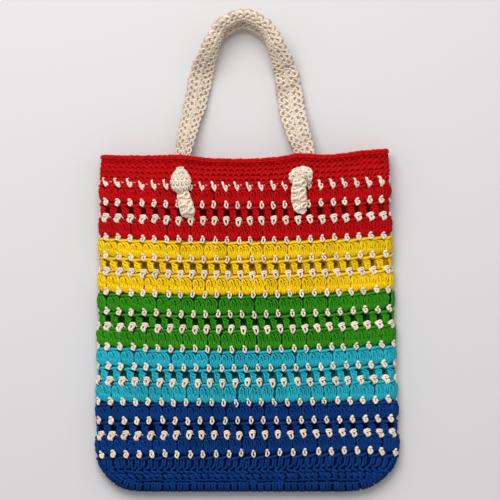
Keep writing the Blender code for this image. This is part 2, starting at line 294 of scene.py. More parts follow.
def row_shift(x, height):
    """How far a row lies above its height at the middle of the bag."""
    across = x / half_width(height)
    rim = ease((height - BAG_HEIGHT + RIM_HEIGHT) / RIM_HEIGHT)
    dip = ROW_DIP * ease((height - DIP_START) / DIP_BLEND) * across * across
    tilt = (ROW_TILT * ease(height / CORNER_HEIGHT) + RIM_TILT * rim) * across
    sag = RIM_SAG * rim * (1 - np.exp(-((x / RIM_SAG_WIDTH) ** 2)))
    low = ease(height / BASE_HEIGHT) * (1 - ease((height - BASE_HEIGHT) / LOW_RISE_BLEND))
    beside_fold = ease((across - LOW_RISE_END) / (1 - LOW_RISE_END))
    low_rise = LOW_RISE * low * (ease(across / LOW_RISE_SHARE) - beside_fold)
    waves = sum(rise * np.exp(-(((x - middle) / reach) ** 2)) for middle, rise, reach in RIM_WAVES)
    return dip + tilt + sag + low_rise + waves * rim


def corner_skew(height):
    """How far the bottom lies to the left of the bag's middle, more towards the fold."""
    drop = np.clip((CORNER_HEIGHT - height) / CORNER_HEIGHT, 0, 1)
    return CORNER_SKEW * drop**3


def drifted(column, height):
    """Where a column lies at a height: stitches drift left as the rounds climb, and crowd
    together a little at the middle of the front, more so towards the rim."""
    share = np.maximum(height - BASE_HEIGHT, 0) / (BAG_HEIGHT - BASE_HEIGHT - RIM_HEIGHT)
    drift = DRIFT_START + DRIFT * share + DRIFT_EASE * share * share
    from_middle = (column - PER_SIDE / 2 + drift) / STITCHES
    crowding = CROWDING[0] + CROWDING[1] * share
    return column + drift - crowding * np.sin(2 * math.pi * from_middle)


def fold_radius(height, depth):
    """The radius of the side folds, less a depth; it closes towards the bottom fold."""
    fold = full_thickness(height) / 2
    narrowing = np.clip((fold - height) / fold, 0, 1)
    return np.maximum(fold * np.sqrt(1 - narrowing * narrowing) - depth, LEAST_RADIUS)


def wall_run(height, depth):
    """The length over one side of the bag, from side fold to side fold."""
    radius = fold_radius(height, depth)
    return 2 * (half_width(height) - depth - radius) + math.pi * radius


def wall_places(column, height, depth):
    """Places on the bag's outside, set in by depth, at columns counted in stitches.

    Column 0 is the left side fold, and columns run over the front and back along the back.
    """
    radius = fold_radius(height, depth)
    run = wall_run(height, depth)
    half = half_width(height) - depth
    quarter = math.pi * radius / 2
    side, along = np.divmod(column / PER_SIDE, 1)
    along = along * run
    from_left = along < run / 2
    reach = np.where(from_left, along, run - along)
    angle = np.minimum(reach / radius, math.pi / 2)
    x = np.where(reach < quarter, radius * (1 - np.cos(angle)), reach - quarter + radius) - half
    z = radius * np.sin(angle)
    x = np.where(from_left, x, -x)
    back = side % 2 == 1
    x = np.where(back, -x, x)
    z = np.where(back, -z, z)
    y = BOTTOM_Y + height + row_shift(x, height)
    z = lift(height) + full_thickness(height) / 2 + z
    return np.stack([x + LEAN * height / BAG_HEIGHT + corner_skew(height), y, z], axis=1)


def make_active(obj):
    bpy.ops.object.select_all(action="DESELECT")
    obj.select_set(True)
    bpy.context.view_layer.objects.active = obj


def set_mode(mode):
    bpy.ops.object.mode_set(mode=mode)


def apply_modifier(obj, kind, **settings):
    make_active(obj)
    modifier = obj.modifiers.new(kind.lower(), kind)
    for name, value in settings.items():
        setattr(modifier, name, value)
    bpy.ops.object.modifier_apply(modifier=modifier.name)


def join(objects, name):
    make_active(objects[0])
    for obj in objects:
        obj.select_set(True)
    bpy.ops.object.join()
    joined = bpy.context.object
    joined.name = name
    joined.data.name = name
    return joined


def points_of(mesh):
    points = np.empty(len(mesh.vertices) * 3)
    mesh.vertices.foreach_get("co", points)
    return points.reshape(-1, 3)


def set_points(mesh, points):
    mesh.vertices.foreach_set("co", points.ravel())
    mesh.update()


def set_value(mesh, name, values):
    """A number at each vertex, for a material to read."""
    attribute = mesh.attributes.get(name) or mesh.attributes.new(name, "FLOAT", "POINT")
    attribute.data.foreach_set("value", values)


def set_stitches(mesh, points, tone_and_painted_light, painted_shade):
    """Sets laid stitches in place, with how pale they are and how much painted shade darkens them deep
    between the strands.
    """
    set_points(mesh, points)
    set_value(mesh, "tone_and_painted_light", tone_and_painted_light)
    set_value(mesh, "painted_shade", painted_shade)


def painted_shade_at_depth(flat):
    """0 at the surface to 1 deep between the strands: how much painted shade a material puts there."""
    return np.clip(-flat[:, 2] / PAINTED_SHADE_DEPTH, 0, 1)


def make_strand(points, thickness):
    """One strand of yarn through points in millimetres; a point's fourth number thins or
    thickens it there."""
    curve = bpy.data.curves.new("strand", "CURVE")
    curve.dimensions = "3D"
    curve.bevel_depth = YARN_RADIUS * thickness * MM
    curve.bevel_resolution = 1
    curve.use_fill_caps = True
    spline = curve.splines.new("POLY")
    spline.points.add(len(points) - 1)
    length = 0
    for index, (x, y, z, *thick) in enumerate(points):
        place = Vector((x, y, z)) * MM
        spline.points[index].co = (*place, 1)
        spline.points[index].radius = thick[0] if thick else 1
        if index:
            length += (place - before).length
        before = place
    strand = bpy.data.objects.new("strand", curve)
    bpy.context.scene.collection.objects.link(strand)
    make_active(strand)
    bpy.ops.object.convert(target="MESH")
    strand = bpy.context.object
    for corner in strand.data.uv_layers[0].data:
        corner.uv = (corner.uv[0], corner.uv[1] * length / TWIST_PITCH)
    return strand


def make_stitch(name, strands):
    """A stitch from strands given as (thickness, points)."""
    return join([make_strand(points, thickness) for thickness, points in strands], name)


def copy_stitch(name, strands, count):
    """Copies of a stitch in one mesh, the copy that each vertex is in, and its place in the stitch."""
    stitch = make_stitch(name, strands)
    own = points_of(stitch.data)
    apply_modifier(stitch, "ARRAY", count=count, use_relative_offset=False, use_constant_offset=True)
    index = np.arange(len(stitch.data.vertices))
    return stitch, index // len(own), own[index % len(own)]


def mirrored(points):
    return [(-x, y, z, *thick) for x, y, z, *thick in points]


def moved(points, dx, dy=0, dz=0):
    return [(x + dx, y + dy, z + dz, *thick) for x, y, z, *thick in points]


def scaled(points, width, height):
    return [(x * width, y * height, z, *thick) for x, y, z, *thick in points]


def each(strands, change, *amounts):
    """Strands with a change made to the points of each."""
    return [(thickness, change(points, *amounts)) for thickness, points in strands]


def hung(strands, height):
    """Strands drawn down from a row's top, moved up to its height."""
    return each(strands, moved, 0, height)


def cluster_strands(height):
    """Three tall stitches worked together: straight legs below, and above them wraps that slant
    down to the right like the folds of a half-closed umbrella."""
    wraps = [
        (1, [(-3.7, -4.4, -0.8, 0.8), (-5, -6.4, 0.3), (-5.7, -9.6, 0.5), (-5.2, -13, 0.3),
             (-4.7, -15.5, -0.6)]),
        (0.95, [(-3.9, -4.9, -0.7, 0.8), (-2.7, -7, 0.5), (-1.4, -9.6, 0.6), (-0.9, -12.6, 0.2),
                (-1.2, -15, -0.6)]),
        (0.95, [(-2.8, -4.3, -0.7, 0.8), (0.2, -5.7, 0.7), (2.8, -8.4, 0.8), (3.6, -11.6, 0.4),
                (3.3, -14.5, -0.6)]),
        (1, [(-0.2, -4.4, -0.8, 0.8), (3.1, -5.1, 0.4), (5.4, -7.6, 0.6), (6.1, -10.8, 0.5),
             (5.4, -14.2, -0.4)]),
        (0.8, [(0.2, -7.8, -0.6, 0.8), (1.4, -10, 0.2), (2, -13, -0.5)]),
        (0.75, [(-4.7, -8.8, -0.7, 0.8), (-3.5, -10.8, 0.1), (-2.8, -13.8, -0.5)]),
    ]
    strands = hung(wraps, height)
    for middle in (-3.9, 0, 3.9):
        foot = middle * 0.86
        rise = abs(middle) * 0.3
        for side in (-1, 1):
            leg = [
                (foot + side * 0.95, 0.2 + rise, -1.1, 0.8),
                (foot + side, 2.4 + rise, 0.2, 1.05),
                (middle * 1.12 + side * 0.95, 5.8, 0.4, 1.05),
                (middle * 1.12 + side * 0.8, 9.4, -0.8),
            ]
            strands.append((0.95, leg))
    return strands


def chain_strands(height):
    """The loop of a chain between two cream stitches: thick at its left and thin where it rises
    at its right."""
    loop = [
        (-5.5, -3.7, -1.2, 0.8), (-4.2, -3.3, 0.3, 1.35), (-1.5, -2.9, 0.9, 1.65),
        (1.8, -2.3, 1, 1.3), (4.6, -1.6, 0.2, 0.95), (5.7, -1.4, -1.1, 0.7),
    ]
    return hung([(1, loop)], height)


def mesh_post_strands(height):
    """One tall stitch between two gaps: two slanting wraps over three legs."""
    upper_wrap = [(-3.7, -4.1, -0.9, 0.8), (-2.3, -4.9, 0.4), (0.8, -5.9, 0.7), (3.9, -7.4, -0.4, 0.9)]
    lower_wrap = [(-1.8, -7.8, -0.7, 0.8), (0, -9, 0.5), (2.1, -10.8, 0.6), (3.9, -13.2, -0.5, 0.9)]
    left = [(-2.2, -5.8, -0.6), (-1.6, -8.4, 0.2), (-0.9, -11.4, 0.4), (-0.3, -15.6, -0.6)]
    middle = [(0.9, -5.8, -0.8), (0.9, -9, -0.5), (1.7, -15.6, -0.6)]
    right = [(3.1, -6.4, -0.6), (2.6, -8.8, 0.1), (3.1, -11.8, 0.1), (3.6, -15.6, -0.6)]
    strands = [(1, upper_wrap), (1, lower_wrap), (1, left), (0.9, middle), (1, right)]
    return hung(strands, height)


def narrow_cream_strands():
    """A small stitch: a plump loop at its upper left over two legs that close to a point."""
    loop = [
        (-1.4, 2.6, -0.4, 0.8), (-1.1, 3.5, 1, 1.2), (-0.4, 3.9, 1.4, 1.3), (0.3, 3.5, 1.1, 1.2),
        (0.7, 2.6, -0.4, 0.8),
    ]
    right = [
        (0.5, 2.2, -0.2, 0.8), (1.5, 1.2, 0.9), (1.75, -0.4, 1.4, 1.05), (1.25, -2, 1.4),
        (0.4, -3.2, 1), (-0.2, -3.4, 0.6, 0.8),
    ]
    left = [
        (-1.1, 2.1, -0.2, 0.8), (-1.6, 0.9, 0.9), (-1.65, -0.6, 1.4, 1.05), (-1, -2.3, 1.4),
        (0, -3.3, 0.9, 0.9),
    ]
    return [(1, loop), (0.8, right), (0.8, left)]


def wide_cream_strands():
    """A stitch with its loop drawn out sideways, on two legs that close to a point."""
    loop = [
        (-2.8, 1.3, -0.2, 0.7), (-1.5, 1.1, 1.1), (0.6, 1.2, 1.3), (2.1, 1.5, 1.1), (2.8, 2.4, 0.8),
        (2.1, 3.5, 0.8), (0.6, 3.6, 1.2), (-1.3, 3, 1.2), (-2.8, 2.1, -0.2, 0.7),
    ]
    tail = [(2.7, 1.6, 0.4, 0.8), (3.5, 0.9, 0.1, 0.8), (4, -0.3, -0.9, 0.6)]
    right = [
        (1.9, 0.8, 0, 0.9), (2.25, -0.7, 1.6), (1.9, -2.4, 2.3, 1.05), (1.25, -4.1, 2),
        (0.5, -5.6, 0.4, 0.7),
    ]
    left = [
        (-1.9, 0.7, 0, 0.9), (-1.95, -0.8, 1.6), (-1.4, -2.7, 2.3, 1.05), (-0.4, -4.4, 2),
        (0.4, -5.6, 0.4, 0.7),
    ]
    return [(1.1, loop), (0.7, tail), (0.88, right), (0.88, left)]


def leaning_cream_strands():
    """A stitch of the topmost cream round: a long left leg, a short right one and a stray loop."""
    left = [
        (-2.4, 5.8, -0.3, 0.8), (-1.9, 5, 1.3, 1.35), (-1.6, 2.6, 1.5, 1.2),
        (-0.8, -0.2, 1.5, 1.05), (0.5, -3.2, 1.2, 0.95), (0.9, -4.6, 0, 0.6),
    ]
    right = [
        (1, 2.4, -0.2, 0.8), (1.6, 1.5, 1.1, 1), (2.1, 0.1, 1.5, 1.1), (1.9, -1.9, 1.4, 1),
        (1.2, -4, 0.4, 0.7),
    ]
    dot = [(3.9, 2.5, -0.4, 0.8), (4.6, 2.2, 0.8, 1.05), (5.3, 1.8, -0.4, 0.8)]
    return [(1, left), (1, right), (0.75, dot)]


def single_strands(width, height):
    """A short stitch: an arched loop that spans its neighbours' sides, over the bump below it."""
    side = width / 2
    half_arch = [
        (-side, -height * 0.35, -0.4, 0.7), (-side, height * 0.12, 0.3, 0.75),
        (-side * 0.8, height * 0.5, 0.6, 0.9), (-side * 0.42, height * 0.77, 0.75, 1.05),
    ]
    arch = half_arch + [(0, height * 0.85, 0.8, 1.1)] + mirrored(half_arch[::-1])
    bump = [(-1.5, -0.5, -0.4, 0.9), (0, 0.1, 1, 1.3), (1.5, -0.5, -0.4, 0.9)]
    return [(1.25, arch), (1.1, bump)]


def edge_strands(width, height):
    """A link of the thick chain that ends the rim."""
    link = [
        (-0.62, 0.5, 0.6, 0.9), (-0.2, 0.58, 1.8, 1.25), (0.3, 0.63, 1.9, 1.3), (0.66, 0.52, 0.7, 0.9),
    ]
    lower = [(-0.55, 0.1, 1.5, 1), (0, 0.3, 1.8, 1.1), (0.55, 0.4, 1.5, 1)]
    return [(1.18, scaled(link, width, height)), (0.95, scaled(lower, width, 1))]


def tall_strands(height):
    """A tall stitch of the base: two legs side by side that bend to the left at their feet."""
    left = [
        (-2.8, -1, 0.2, 0.9), (-1.8, 0.6, 0.8, 1.1), (-1.4, height * 0.36, 0.7, 1.1),
        (-1.3, height * 0.7, 0.6, 1.1), (-1.2, height, -0.5, 0.9),
    ]
    right = [
        (0.4, -0.8, -0.3), (1.1, height * 0.24, 0.5, 1.1), (1.4, height * 0.62, 0.6, 1.1),
        (1.5, height, -0.4, 0.9),
    ]
    return [(1, left), (1, right)]


def leaf_strands(width, height):
    """A link of the chain over the base: plump at its left, rising to a thin end at its right."""
    leaf = [
        (-0.42, 0, -1.1, 0.7), (-0.28, 0.14, 0.4, 1.4), (-0.06, 0.36, 1, 1.65),
        (0.16, 0.66, 0.8, 1.25), (0.36, 0.92, -0.1, 0.85), (0.42, 1, -1.1, 0.7),
    ]
    return each([(1, leaf)], scaled, width, height)


def braid_strands(width, height):
    """One link of the chain that lies along the base, an open hook that points to the left."""
    lower = [
        (-0.46, 0.52, 0.2, 0.8), (-0.2, 0.3, 1, 1.25), (0.2, 0.16, 0.9, 1.25), (0.55, 0.12, -0.5, 0.8),
    ]
    upper = [(-0.46, 0.5, 0, 0.8), (-0.15, 0.8, 0.9, 1.15), (0.25, 1.15, 0.4, 1)]
    return each([(1.1, lower), (1.05, upper)], scaled, width, height)


def slanting_strands(height):
    """A short stitch: a plump strand that slants down to the right, and a shorter one beside it."""
    bold = [
        (-3.7, 1, -0.5, 0.9), (-2.3, 0.8, 0.7, 1.3), (-0.2, 0.5, 0.8, 1.3), (2, 0.2, 0.2, 1.1),
        (3.3, 0.02, -0.8, 0.9),
    ]
    beside = [(-0.6, 1.02, -0.6, 0.9), (1.2, 0.82, 0.3, 1.1), (3.1, 0.52, 0.2)]
    under = [(-3.4, 0.1, -0.7), (-0.6, 0.04, -0.4), (1.6, 0, -0.7)]
    return each(((1.15, bold), (0.95, beside), (0.95, under)), scaled, 1, height)


def rib_strands():
    """A rib of the bottom edge: two strands that run round the fold from front to back, the thin
    seam that joins it to the next rib, and the strand they lie on along the fold."""
    strand = [
        (-3.6, 0, -1.1, 0.8), (-1.4, 0, 0.2, 1.1), (3, 0.1, 0.3, 1.2), (7.5, 0.2, -0.1, 1.25),
        (11.5, 0.3, -0.6, 1.25), (15.5, 0.3, -0.7, 1.25), (20, 0.2, -0.2, 1.1), (26, 0, -1, 0.8),
    ]
    seam = [(-1.2, -3.9, -0.3), (-2.3, -1.9, 0.5), (-2.6, 0, 0.7), (-2.3, 1.9, 0.5), (-1.2, 3.9, -0.3)]
    under = [(13.5, -3.9, -1.3), (13.5, 3.9, -1.3)]
    return [(1.05, moved(strand, 0, -1.45)), (1.05, moved(strand, 0, 1.45)), (0.95, seam), (1.1, under)]


def lay_round(strands, name, bottom, count, first, seed, sway=1, span=0, inside=False, upright=0):
    """Copies a stitch all round the bag, and bends the round to the wall.

    first is the column of the first stitch. Each copy is moved and leaned a little of its own.
    A round with a span stands out half way up it, most at the side folds. Near the bottom, where
    the bag narrows quickly, a round with a height to be upright at keeps its stitches upright.
    """
    rng = np.random.default_rng(seed)
    stitch, copy, flat = copy_stitch(name, strands, count)
    mesh = stitch.data
    shift = rng.normal(0, 1, (count, 3)) * STITCH_SCATTER * sway
    lean = rng.normal(0, STITCH_LEAN, count) * sway
    tone_and_painted_light = rng.normal(0, 1, count)
    sideways, upward = wobbled(flat, rng.uniform(0, 2 * math.pi, (count, 2))[copy])
    x = sideways + flat[:, 1] * lean[copy] + shift[copy, 0]
    height = bottom + upward + shift[copy, 1]
    depth = FABRIC_DEPTH - flat[:, 2] - shift[copy, 2]
    if inside:
        depth = WALL - depth
        mesh.flip_normals()
    column = drifted(first + copy * STITCHES / count, bottom)
    if upright:
        side, share = np.divmod(column / PER_SIDE, 1)
        from_middle = 2 * share - 1
        anchor_run = wall_run(upright, FABRIC_DEPTH)
        spread = (anchor_run / wall_run(height, depth) - 1) * (1 - from_middle**4)
        column = (side + 0.5 + from_middle / 2 * (1 + spread)) * PER_SIDE
    column = column + x / (wall_run(height, depth) / PER_SIDE)
    if span:
        from_fold = np.abs(column / PER_SIDE - np.rint(column / PER_SIDE)) * PER_SIDE
        bulge = BULGE + SIDE_BULGE * np.exp(-((from_fold / SIDE_REACH) ** 2))
        depth -= bulge * np.sin(math.pi * np.clip(flat[:, 1] / span, 0, 1))
    set_stitches(mesh, wall_places(column, height, depth), tone_and_painted_light[copy], painted_shade_at_depth(flat))
    return stitch


def wobbled(flat, turns):
    """Places across and up a stitch, a little out of line: turns are where its waves start."""
    wave = 2 * math.pi / WOBBLE_LENGTH
    sideways = flat[:, 0] + WOBBLE * np.sin(flat[:, 1] * wave + turns[:, 0])
    upward = flat[:, 1] + WOBBLE * np.sin(flat[:, 0] * wave + turns[:, 1])
    return sideways, upward


def clean_core(reach, fill=False):
    """Ends edit mode on a core: merges points within reach, may fill its ends, turns its faces out."""
    bpy.ops.mesh.select_all(action="SELECT")
    bpy.ops.mesh.remove_doubles(threshold=reach)
    if fill:
        bpy.ops.mesh.fill_holes(sides=0)
    bpy.ops.mesh.delete_loose()
    bpy.ops.mesh.select_all(action="SELECT")
    bpy.ops.mesh.normals_make_consistent(inside=False)
    set_mode("OBJECT")


def lay_core(heights, open_row):
    """A sheet under the strands, standing in for the shade between them, rolled round the bag with an
    edge at each of a band's heights.

    In the open row, the middle of each stitch on the front is left out, as in the CAD model. The
    outer side is painted darker, as the shade seen between the strands.
    """
    across = STITCHES * 4
    bpy.ops.mesh.primitive_grid_add(x_subdivisions=across, y_subdivisions=len(heights) - 1, size=1)
    core = bpy.context.object
    mesh = core.data
    points = points_of(mesh)
    column = (points[:, 0] + 0.5) * STITCHES
    row = np.rint((points[:, 1] + 0.5) * (len(heights) - 1)).astype(int)
    height = np.array(heights)[row]
    in_rim = height > BAG_HEIGHT - RIM_HEIGHT + RIM_CORE_START
    depth = np.where(in_rim, RIM_CORE_DEPTH, CORE_DEPTH)
    set_points(mesh, wall_places(drifted(column, height), height, depth))
    flat = np.stack([column, row], axis=1)
    bpy.context.tool_settings.mesh_select_mode = (False, False, True)
    for face in mesh.polygons:
        middle_column, middle_row = flat[list(face.vertices)].mean(axis=0)
        in_gap = OPEN_SHARE[0] < middle_column % 1 < OPEN_SHARE[1]
        face.select = int(middle_row) == open_row and middle_column < PER_SIDE and in_gap
    set_mode("EDIT")
    bpy.ops.mesh.delete(type="ONLY_FACE")
    clean_core(CORE_MERGE)
    apply_modifier(core, "SOLIDIFY", thickness=CORE_WALL, offset=-1, use_even_offset=False)
    # painted shade: the outer side takes the full dark colour and is darkened further, as the shade
    # seen in the holes and between the strands; the inner side gets none
    is_outside = np.arange(len(mesh.vertices)) < len(mesh.vertices) // 2
    set_value(mesh, "painted_shade", np.where(is_outside, 1, 0))
    set_value(mesh, "tone_and_painted_light", np.where(is_outside, CORE_PAINTED_SHADE, 0))
    return core


def add_node(tree, kind, **values):
    """A shader node, with values for its named inputs."""
    node = tree.nodes.new(f"ShaderNode{kind}")
    for field, value in values.items():
        node.inputs[field].default_value = value
    return node


def multiply_add(tree, value, factor):
    """A node that gives a value times a factor, plus its third input."""
    node = add_node(tree, "Math")
    node.operation = "MULTIPLY_ADD"
    node.inputs[1].default_value = factor
    tree.links.new(value, node.inputs[0])
    return node


def mix_colours(tree, share):
    """A node that mixes two colours, its inputs 6 and 7, into its output 2."""
    node = add_node(tree, "Mix")
    node.data_type = "RGBA"
    tree.links.new(share, node.inputs[0])
    return node


def make_yarn(name, colour, painted_shade_share):
    """Twisted matt yarn: slanting plies, soft fibres, a little change from stitch to stitch, and
    painted shade deep between the strands.
    """
    material = bpy.data.materials.new(name)
    material.use_nodes = True
    tree = material.node_tree
    links = tree.links
    shader = tree.nodes["Principled BSDF"]
    for field, value in FINISH.items():
        shader.inputs[field].default_value = value

    place = add_node(tree, "TexCoord")
    fibres = add_node(tree, "TexNoise", Scale=FIBRE_SCALE, Detail=FIBRE_DETAIL)
    links.new(place.outputs["Object"], fibres.inputs["Vector"])
    along = add_node(tree, "UVMap")
    along.uv_map = "UVMap"
    plies = add_node(tree, "TexWave", Scale=PLY_SCALE, Distortion=PLY_DISTORTION)
    plies.bands_direction = "DIAGONAL"
    links.new(along.outputs["UV"], plies.inputs["Vector"])
    tone_and_painted_light = add_node(tree, "Attribute")
    tone_and_painted_light.attribute_name = "tone_and_painted_light"
    painted_shade = add_node(tree, "Attribute")
    painted_shade.attribute_name = "painted_shade"

    linear = [channel_value(channel) for channel in colour]
    light = mix_colours(tree, plies.outputs["Fac"])
    for number, shade in enumerate(PLY_SHADES):
        light.inputs[6 + number].default_value = (*[min(value * shade, 1) for value in linear], 1)
    # painted shade: a darker, deeper-hued copy of the colour, mixed in as far as the strand lies deep
    # between others
    deep = mix_colours(tree, painted_shade.outputs["Fac"])
    full = max(linear)
    shaded = [value * painted_shade_share * (value / full) ** 0.5 for value in linear]
    deep.inputs[7].default_value = (*shaded, 1)
    links.new(light.outputs[2], deep.inputs[6])
    bright = multiply_add(tree, tone_and_painted_light.outputs["Fac"], TONE_STEP)
    bright.inputs[2].default_value = 1
    vary = add_node(tree, "HueSaturation")
    links.new(bright.outputs[0], vary.inputs["Value"])
    links.new(deep.outputs[2], vary.inputs["Color"])
    links.new(vary.outputs["Color"], shader.inputs["Base Color"])

    height = multiply_add(tree, fibres.outputs["Fac"], FIBRE_SHARE)
    links.new(plies.outputs["Fac"], height.inputs[2])
    bump = add_node(tree, "Bump", Strength=BUMP_STRENGTH, Distance=BUMP_DISTANCE)
    links.new(height.outputs[0], bump.inputs["Height"])
    links.new(bump.outputs["Normal"], shader.inputs["Normal"])
    return material


def channel_value(channel):
    """An 8-bit sRGB channel as a linear value."""
    value = channel / 255
    return value / 12.92 if value <= 0.04045 else ((value + 0.055) / 1.055) ** 2.4


def finish_piece(piece, colour, *nodes):
    """Gives a piece its yarn, keeps it above the floor and sets it in place of its CAD nodes."""
    piece.data.materials.clear()
    piece.data.materials.append(YARNS[colour])
    make_active(piece)
    bpy.ops.object.shade_smooth()
    points = points_of(piece.data)
    points[:, 2] = np.maximum(points[:, 2], 0)
    set_points(piece.data, points)
    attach(piece, "root")
    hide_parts(*nodes)


def count_round(height, pitch):
    """How many stitches of a width fit round the bag at a height, an even number."""
    return 2 * round(float(wall_run(height, FABRIC_DEPTH)) / (pitch * MM))


def make_base(seed):
    """The blue rounds below the lowest cream one."""
    fold = silhouette_run()
    pieces = [lay_along(rib_strands(), "base_ribs", fold, RIB_PITCH, seed, rounded=True, span=RIB_SPAN)]
    rounds = (
        # strands, name, bottom, height and stitch width in millimetres
        (slanting_strands(7.8), "base_slant", 13.6, 7.8, 7.4),
        (braid_strands(7.3, 6.4), "base_ridge", 22.0, 6.4, 7.3),
        (tall_strands(9.4), "base_tall", 28.8, 9.4, 7.3),
    )
    for index, (drawn, name, bottom, height, width) in enumerate(rounds):
        middle = (bottom + height / 2) * MM
        count = count_round(middle, width)
        laid = lay_round(drawn, name, bottom * MM, count, 0, seed + index, BASE_SWAY, upright=middle)
        pieces.append(laid)
    bottom, width, height = BASE_CHAIN
    leaf = leaf_strands(width, height)
    pieces.append(lay_round(leaf, "base_chain", bottom * MM, STITCHES, 0, seed + 9))
    return pieces


def make_rim(seed):
    """The red rounds above the topmost cream one, a thick chain at the edge, and the inner side
    of the upper rounds, which the mouth shows."""
    pieces = []
    height = (RIM_HEIGHT / MM - EDGE_HEIGHT) / RIM_ROUNDS
    for number in range(RIM_ROUNDS):
        bottom = BAG_HEIGHT - RIM_HEIGHT + number * height * MM
        count = count_round(bottom, RIM_PITCH)
        drawn = single_strands(RIM_PITCH, height)
        drawn = each(drawn, moved, 0, 0, -RIM_SINK.get(number, 0))
        first = RIM_SLANT * number
        pieces.append(lay_round(drawn, "rim_round", bottom, count, first, seed + number, 0.8))
        if number >= RIM_ROUNDS - INNER_ROUNDS:
            inner = lay_round(drawn, "inner_rim", bottom, count, first, seed + 10 + number, inside=True)
            pieces.append(inner)
    bottom = BAG_HEIGHT - EDGE_HEIGHT * MM
    count = count_round(bottom, RIM_PITCH)
    link = edge_strands(RIM_PITCH, EDGE_HEIGHT)
    pieces.append(lay_round(link, "rim_edge", bottom, count, 0, seed + 20, 0.6))
    pieces.append(lay_round(link, "inner_edge", bottom, count, 0, seed + 21, 0.6, inside=True))
    return pieces


def silhouette_run():
    """The middle line of the bottom fold, from the left side round both corners."""
    turn = np.radians(np.linspace(RIB_START, 90, CORNER_STEPS))
    corner_height = CORNER_HEIGHT * (1 - np.sin(turn))
    corner_x = half_width(corner_height)
    straight = np.linspace(-corner_x[-1], corner_x[-1], FOLD_STEPS)[1:-1]
    x = np.concatenate([-corner_x, straight, corner_x[::-1]])
    height = np.concatenate([corner_height, np.zeros(len(straight)), corner_height[::-1]])
    y = BOTTOM_Y + height + row_shift(x, height)
    middle = np.stack([x + corner_skew(height), y, np.zeros(len(x))], axis=1)
    step = unit(np.gradient(middle, axis=0))
    outward = np.stack([step[:, 1], -step[:, 0], step[:, 2]], axis=1)
    fold = BODY_THICKNESS / 2
    puff = CORNER_PUFF * np.sin(math.pi * (turn - turn[0]) / (turn[-1] - turn[0])) ** 2
    puff = np.concatenate([puff, np.zeros(len(straight)), puff[::-1]])
    middle = middle - outward * (fold - puff)[:, None]
    middle[:, 2] = fold
    upward = np.tile([0, 0, 1.0], (len(x), 1))
    size = np.full(len(x), BODY_THICKNESS)
    return Run(middle, outward, upward, size, size)


def make_bands():
    """The wall in its five colours. Gives the heights of the cream rounds."""
    bottom = BASE_HEIGHT
    heights = [bottom]
    seed = BAND_SEED
    for name, lower, mesh, upper in STRIPES:
        first = bottom + lower
        second = first + mesh
        top = second + upper
        pieces = []
        for row_bottom, row_height in ((bottom, lower), (second, upper)):
            drawn = cluster_strands(row_height / MM) + chain_strands(row_height / MM)
            pieces.append(lay_round(drawn, "clusters", row_bottom, STITCHES, 0, seed, span=row_height))
            seed += 1
        drawn = mesh_post_strands(mesh / MM) + chain_strands(mesh / MM)
        pieces.append(lay_round(drawn, "posts", first, STITCHES, 0, seed))
        seed += 1
        core_heights = [bottom, (bottom + first) / 2, *(first + row for row in MESH_CORE_ROWS)]
        core_heights += [second, (second + top) / 2, top]
        open_row = OPEN_ROW
        if name == "blue":
            core_heights = [*BASE_CORE_ROWS, *core_heights]
            open_row += len(BASE_CORE_ROWS)
            pieces += make_base(seed)
        if name == "red":
            core_heights += [top + RIM_HEIGHT * share for share in RIM_CORE_ROWS]
            core_heights.append(BAG_HEIGHT - RIM_CORE_DROP)
            rim = join(make_rim(seed + 20), "red_rim")
            finish_piece(rim, name, f"{name}_band")
        pieces.append(lay_core(core_heights, open_row))
        band = join(pieces, f"{name}_crochet")
        finish_piece(band, name, f"{name}_band")
        heights += [first, second, top]
        bottom = top
    return heights


def make_cream_rounds(heights):
    """Cream stitches between the rows: wide ones under each mesh row, leaning ones under the rim."""
    for number, height in enumerate(heights, start=1):
        drawn = narrow_cream_strands()
        if number % 3 == 2:
            drawn = wide_cream_strands()
        if number == len(heights):
            drawn = leaning_cream_strands()
        name = f"cream_stitches_{number:02d}"
        piece = lay_round(drawn, name, height, STITCHES, 0.5, CREAM_SEED + number, 1.3)
        finish_piece(piece, "cream", f"cream_round_{number:02d}")


def smooth_value(before, start, end, after, t):
    bend = 2 * before - 5 * start + 4 * end - after
    twist = 3 * start - before - 3 * end + after
    return start + ((end - before) * t + bend * t * t + twist * t**3) / 2


def curve_through(points, steps):
    """Places on a smooth curve through the points, evenly spaced between each two."""
    points = np.array(points)
    last = len(points) - 1
    found = []
    for index in range(last):
        before, start = points[max(index - 1, 0)], points[index]
        end, after = points[index + 1], points[min(index + 2, last)]
        for step in range(steps):
            found.append(smooth_value(before, start, end, after, step / steps))
    return np.array([*found, points[last]])


class Run:
    """A strap's run: at each length along it a middle, a direction across, a normal, and a size."""

    def __init__(self, middle, across, normal, width, thickness, arch=None):
        self.arch = np.zeros(len(middle)) if arch is None else arch
        self.middle = middle
        self.across = across
        self.normal = normal
        self.width = width
        self.thickness = thickness
        steps = np.linalg.norm(np.diff(middle, axis=0), axis=1)
        self.reach = np.concatenate([[0], np.cumsum(steps)])

    def at(self, along, values):
        if values.ndim == 1:
            return np.interp(along, self.reach, values)
        return np.stack([np.interp(along, self.reach, part) for part in values.T], axis=1)

    def flat_places(self, along, share, out):
        """Places at a length along, a share of the width and a height off the arched middle."""
        out = out + self.at(along, self.arch) * (1 - 4 * share * share)
        sideways = self.at(along, self.across) * (share * self.at(along, self.width))[:, None]
        return self.at(along, self.middle) + sideways + self.at(along, self.normal) * out[:, None]

    def round_places(self, along, share, out):
        """Places on an oval section: a share of 0 is its crest, and of -0.5 and 0.5 its sides."""
        turn = share * math.pi
        sideways = np.sin(turn) * (self.at(along, self.width) / 2 + out)
        upward = np.cos(turn) * (self.at(along, self.thickness) / 2 + out)
        across, normal = self.at(along, self.across), self.at(along, self.normal)
        return self.at(along, self.middle) + across * sideways[:, None] + normal * upward[:, None]


